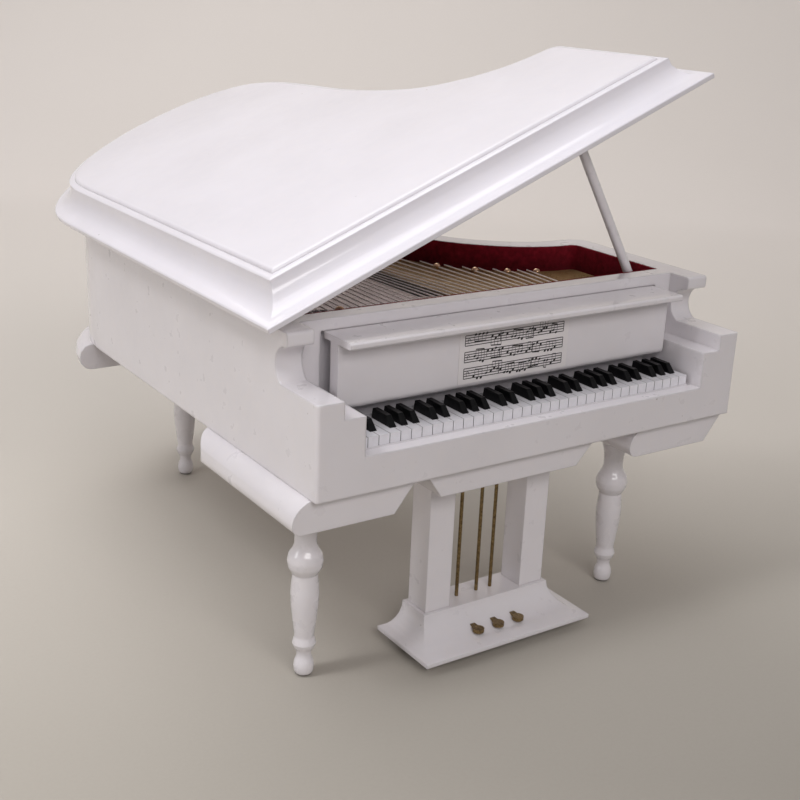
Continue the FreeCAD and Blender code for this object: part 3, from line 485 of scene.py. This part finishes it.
def build_velvet_pile():
    """Short three-sided fibres standing along the cut top edge of the lining."""
    lining = PIECES["velvet_lining"]
    draw = random.Random(5)
    points, faces = [], []
    for area, (a, b, c) in top_triangles(lining.data):
        wanted = area * 1e6 * FIBRES_PER_MM2
        for _ in range(int(wanted) + (draw.random() < wanted - int(wanted))):
            u, w = draw.random(), draw.random()
            if u + w > 1:
                u, w = 1 - u, 1 - w
            foot = lining.matrix_world @ (a + (b - a) * u + (c - a) * w)
            height = draw.uniform(*FIBRE_HEIGHT)
            radius = draw.uniform(*FIBRE_RADIUS)
            lean_x = draw.uniform(-FIBRE_LEAN, FIBRE_LEAN)
            lean_y = draw.uniform(-FIBRE_LEAN, FIBRE_LEAN)
            turn = draw.uniform(0, 2.1)
            i = len(points)
            for k in range(3):
                angle = turn + k * 2.094
                points.append(foot + Vector((radius * math.cos(angle),
                                             radius * math.sin(angle), -FIBRE_ROOT)))
            points.append(foot + Vector((lean_x, lean_y, height)))
            faces += [(i, i + 1, i + 3), (i + 1, i + 2, i + 3),
                      (i + 2, i, i + 3), (i + 2, i + 1, i)]
    pile = add_mesh("velvet_pile", points, faces, MATERIALS["burgundy_velvet"])
    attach(pile, "case")


# ------------------------------------------------------------ floor
PAINTED_LIGHT_AZIMUTH = -34.4                 # degrees; the painted light and shade on the paper run along this
# distance ahead, as a share of -0.75 m to 0.75 m, and the painted brightness there, darkest
# just in front of the piano and rising towards the back
FLOOR_PAINTED_LIGHT = [
    (0.0, (0.80, 0.80, 0.80)), (0.20, (0.60, 0.595, 0.585)), (0.333, (0.475, 0.465, 0.45)),
    (0.4, (0.52, 0.515, 0.505)), (0.5, (0.665, 0.665, 0.665)),
    (0.7, (0.86, 0.86, 0.885)), (0.9, (1.03, 1.03, 1.08)),
]
FLOOR_GAIN = 1.42
# the sweep, in metres from the origin along the view
FLOOR_NEAR = -4.0
CURVE_START = 0.55
CURVE_RADIUS = 0.45
CURVE_STEPS = 24
SWEEP_TOP = 2.0
SWEEP_HALF_WIDTH = 3.5


def floor_paper():
    s = Shader("floor_paper")
    v = s.place()
    slow = s.noise(v, scale=2.0)
    fibres = s.noise(v, scale=900.0, rough=0.6)
    color = s.blotch(slow, (0.565, 0.53, 0.475), (0.59, 0.555, 0.50))
    color = s.blotch(fibres, color, (0.5, 0.45, 0.41), span=(0.4, 0.7), most=0.12)
    # painted light and shadow: the paper is darker towards the near right, where the piano's
    # shadow falls, and paler towards the back, where more light reaches
    ahead_axis, right_axis = ground_axes(PAINTED_LIGHT_AZIMUTH)
    ahead = s.dot(v, ahead_axis)
    across = s.dot(v, right_axis)
    tone = s.ramp(s.remap(ahead, span=(-0.75, 0.75)), FLOOR_PAINTED_LIGHT)
    # painted shadow reaching out to the near right
    near = s.remap(ahead, span=(-0.15, 0.06), to=(1.7, 0.0))
    painted_shadow = s.math("MULTIPLY", near, s.math("ADD", across, 0.035))
    light = s.math("SUBTRACT", 1.0, painted_shadow)
    light = s.math("MINIMUM", s.math("MAXIMUM", light, 0.6), 1.25)
    tone = s.scaled(tone, light)
    color = s.node("VectorMath", {0: tone, 1: color}, operation="MULTIPLY").outputs[0]
    return s.surface({
        "Base Color": s.scaled(color, FLOOR_GAIN),
        "Roughness": 0.55,
        "Specular IOR Level": 0.25,
        "Normal": s.bump(fibres, strength=0.1, distance=0.0001),
    })


def build_floor():
    """A sweep of backdrop paper: a flat floor that curves up far behind."""
    ahead, right = ground_axes(VIEW_AZIMUTH)
    profile = [(FLOOR_NEAR, 0.0), (CURVE_START, 0.0)]
    for k in range(1, CURVE_STEPS + 1):
        angle = math.radians(90 * k / CURVE_STEPS)
        profile.append((CURVE_START + CURVE_RADIUS * math.sin(angle),
                        CURVE_RADIUS * (1 - math.cos(angle))))
    profile.append((CURVE_START + CURVE_RADIUS, SWEEP_TOP))
    points = []
    for distance, z in profile:
        for side in (-SWEEP_HALF_WIDTH, SWEEP_HALF_WIDTH):
            spot = ahead * distance + right * side
            points.append((spot.x, spot.y, z))
    faces = [(2 * i, 2 * i + 1, 2 * i + 3, 2 * i + 2) for i in range(len(profile) - 1)]
    floor = add_mesh("floor", points, faces, floor_paper())
    smooth_faces(floor.data)


# ------------------------------------------------------------ light and camera
def set_world(color, strength):
    world = bpy.data.worlds.new("studio")
    bpy.context.scene.world = world
    world.use_nodes = True
    background = world.node_tree.nodes["Background"]
    background.inputs[0].default_value = (*color, 1)
    background.inputs[1].default_value = strength


def area_light(name, place, target, size, power, color):
    """A rectangular light; lengths in metres, power in watts."""
    light = bpy.data.lights.new(name, "AREA")
    light.shape = "RECTANGLE"
    light.size, light.size_y = size
    light.energy = power
    light.color = color
    lamp = add_object(name, light)
    lamp.location = place
    lamp.rotation_mode = "QUATERNION"
    lamp.rotation_quaternion = (Vector(target) - Vector(place)).to_track_quat("-Z", "Y")


def add_lights():
    set_world(color=(1.0, 0.975, 0.965), strength=0.27)
    area_light("window_key", place=(-0.62, 0.02, 0.94), target=(0, 0, 0.08),
               size=(0.22, 0.26), power=2.3, color=(0.985, 0.98, 1.0))
    area_light("softbox_top", place=(-0.20, 0.15, 0.95), target=(0, 0, 0.05),
               size=(0.8, 0.7), power=3.5, color=(0.975, 0.975, 1.0))
    area_light("softbox_left", place=(-0.85, 0.05, 0.45), target=(0, 0, 0.08),
               size=(0.12, 0.5), power=1.35, color=(0.99, 0.985, 1.0))
    area_light("softbox_front", place=(-0.22, -0.95, 0.70), target=(0, 0, 0.07),
               size=(0.7, 0.4), power=4.3, color=(1.0, 0.965, 0.965))
    area_light("backdrop_light", place=(0.5, 1.2, 1.3), target=(0.7, 1.3, 0.0),
               size=(1.2, 1.2), power=7.0, color=(1.0, 1.0, 1.0))


def add_camera():
    lens = bpy.data.cameras.new("camera")
    lens.sensor_width = SENSOR_WIDTH
    lens.lens = FOCAL_LENGTH
    lens.clip_start, lens.clip_end = 0.01, 20
    camera = add_object("camera", lens)
    dip, roll = math.radians(VIEW_DIP), math.radians(VIEW_ROLL)
    ahead = ground_axes(VIEW_AZIMUTH)[0] * math.cos(dip) - Vector((0, 0, math.sin(dip)))
    right = ahead.cross(Vector((0, 0, 1))).normalized()
    up = right.cross(ahead)
    rolled_right = right * math.cos(roll) + up * math.sin(roll)
    rolled_up = -right * math.sin(roll) + up * math.cos(roll)
    pose = Matrix((rolled_right, rolled_up, -ahead)).transposed().to_4x4()
    pose.translation = case_point(*CAMERA_PLACE)
    camera.matrix_world = pose
    scene = bpy.context.scene
    scene.camera = camera
    scene.view_settings.view_transform = "Standard"
    scene.view_settings.look = "None"


# ------------------------------------------------------------ printed music
# Millimetres in the case frame. Each printed shape is a flat polygon of (x, z) points.
PRINT_Y = 16.438                     # the plane of the print, facing -y
STAFF_BASES = (91.17, 86.28, 81.4)   # z of each staff's lowest line
STAFF_LEFT, STAFF_RIGHT = 57.3, 93.6
LINE_GAP = 0.757
LINE_WIDTH = 0.26
BAR_LINES = (STAFF_LEFT, STAFF_RIGHT, STAFF_LEFT + 12.6, STAFF_LEFT + 24.6)
BAR_LINE_WIDTH = 0.24
SWIRL_STEPS = 16
SWIRL_WIDTH = 0.16
HEAD_RADII = (0.45, 0.33)
HEAD_TILT = 0.3                      # radians
HEAD_POINTS = 14
STEM_OFFSET = 0.38                   # from the middle of the head
STEM_LENGTH = 2.0
STEM_WIDTH = 0.13
BEAM_WIDTH = 0.36


def stroke(x0, z0, x1, z1, width):
    along = Vector((x1 - x0, z1 - z0))
    n = Vector((-along.y, along.x)).normalized() * width / 2
    return [(x0 + n.x, z0 + n.y), (x1 + n.x, z1 + n.y),
            (x1 - n.x, z1 - n.y), (x0 - n.x, z0 - n.y)]


def note_head(x, z):
    cos_tilt, sin_tilt = math.cos(HEAD_TILT), math.sin(HEAD_TILT)
    outline = []
    for i in range(HEAD_POINTS):
        angle = 2 * math.pi * i / HEAD_POINTS
        u, w = HEAD_RADII[0] * math.cos(angle), HEAD_RADII[1] * math.sin(angle)
        outline.append((x + u * cos_tilt - w * sin_tilt, z + u * sin_tilt + w * cos_tilt))
    return outline


def swirl(base):
    """An opening swirl in place of a clef."""
    points = []
    for i in range(SWIRL_STEPS + 1):
        angle = i / SWIRL_STEPS * 5.2
        points.append((STAFF_LEFT + 1.3 + 0.65 * math.cos(angle) * (1 - i / 22),
                       base + 1.2 + math.sin(angle) * (1 - i / 26)))
    return [stroke(*a, *b, SWIRL_WIDTH) for a, b in zip(points, points[1:])]


def stems(heads, base, draw):
    """Stems, and a beam over a run of notes, on the side with more room."""
    rising = sum(z for x, z in heads) / len(heads) < base + LINE_GAP * 2
    s = 1 if rising else -1
    shift = STEM_OFFSET * s
    ends = [z + s * STEM_LENGTH for x, z in heads]
    if len(heads) == 1:
        x, z = heads[0]
        return [stroke(x + shift, z, x + shift, ends[0], STEM_WIDTH)]
    start = max(ends) if rising else min(ends)
    finish = start + draw.uniform(-0.3, 0.3)
    shapes = []
    for k, (x, z) in enumerate(heads):
        end = start + (finish - start) * k / (len(heads) - 1)
        shapes.append(stroke(x + shift, z, x + shift, end, STEM_WIDTH))
    first, last = heads[0][0] + shift, heads[-1][0] + shift
    return shapes + [stroke(first, start, last, finish, BEAM_WIDTH)]


def staff(base, draw):
    shapes = []
    for i in range(5):
        z = base + LINE_GAP * i
        shapes.append(stroke(STAFF_LEFT, z, STAFF_RIGHT, z, LINE_WIDTH))
    for x in BAR_LINES:
        shapes.append(stroke(x, base, x, base + LINE_GAP * 4, BAR_LINE_WIDTH))
    shapes += swirl(base)
    x = STAFF_LEFT + 3.6
    while x < STAFF_RIGHT - 1.5:
        run = draw.choice((1, 2, 3, 4, 4))
        step = draw.uniform(0.95, 1.4)
        level = draw.randint(0, 6)
        heads = []
        for _ in range(run):
            if x > STAFF_RIGHT - 1.2:
                break
            level = max(-1, min(8, level + draw.choice((-2, -1, 1, 2, 0))))
            heads.append((x, base + LINE_GAP / 2 * level))
            shapes.append(note_head(*heads[-1]))
            x += step
        shapes += stems(heads, base, draw)
        x += draw.uniform(0.25, 0.7)
    return shapes


def build_music():
    draw = random.Random(11)
    points, faces = [], []
    for base in STAFF_BASES:
        for shape in staff(base, draw):
            faces.append(tuple(range(len(points), len(points) + len(shape))))
            points += [case_point(x, PRINT_Y, z) for x, z in shape]
    notes = add_mesh("music_notes", points, faces, MATERIALS["printing_ink"])
    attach(notes, "fallboard")


finish_pieces()
build_case_skin()
build_velvet_pile()
build_floor()
add_lights()
add_camera()
build_music()
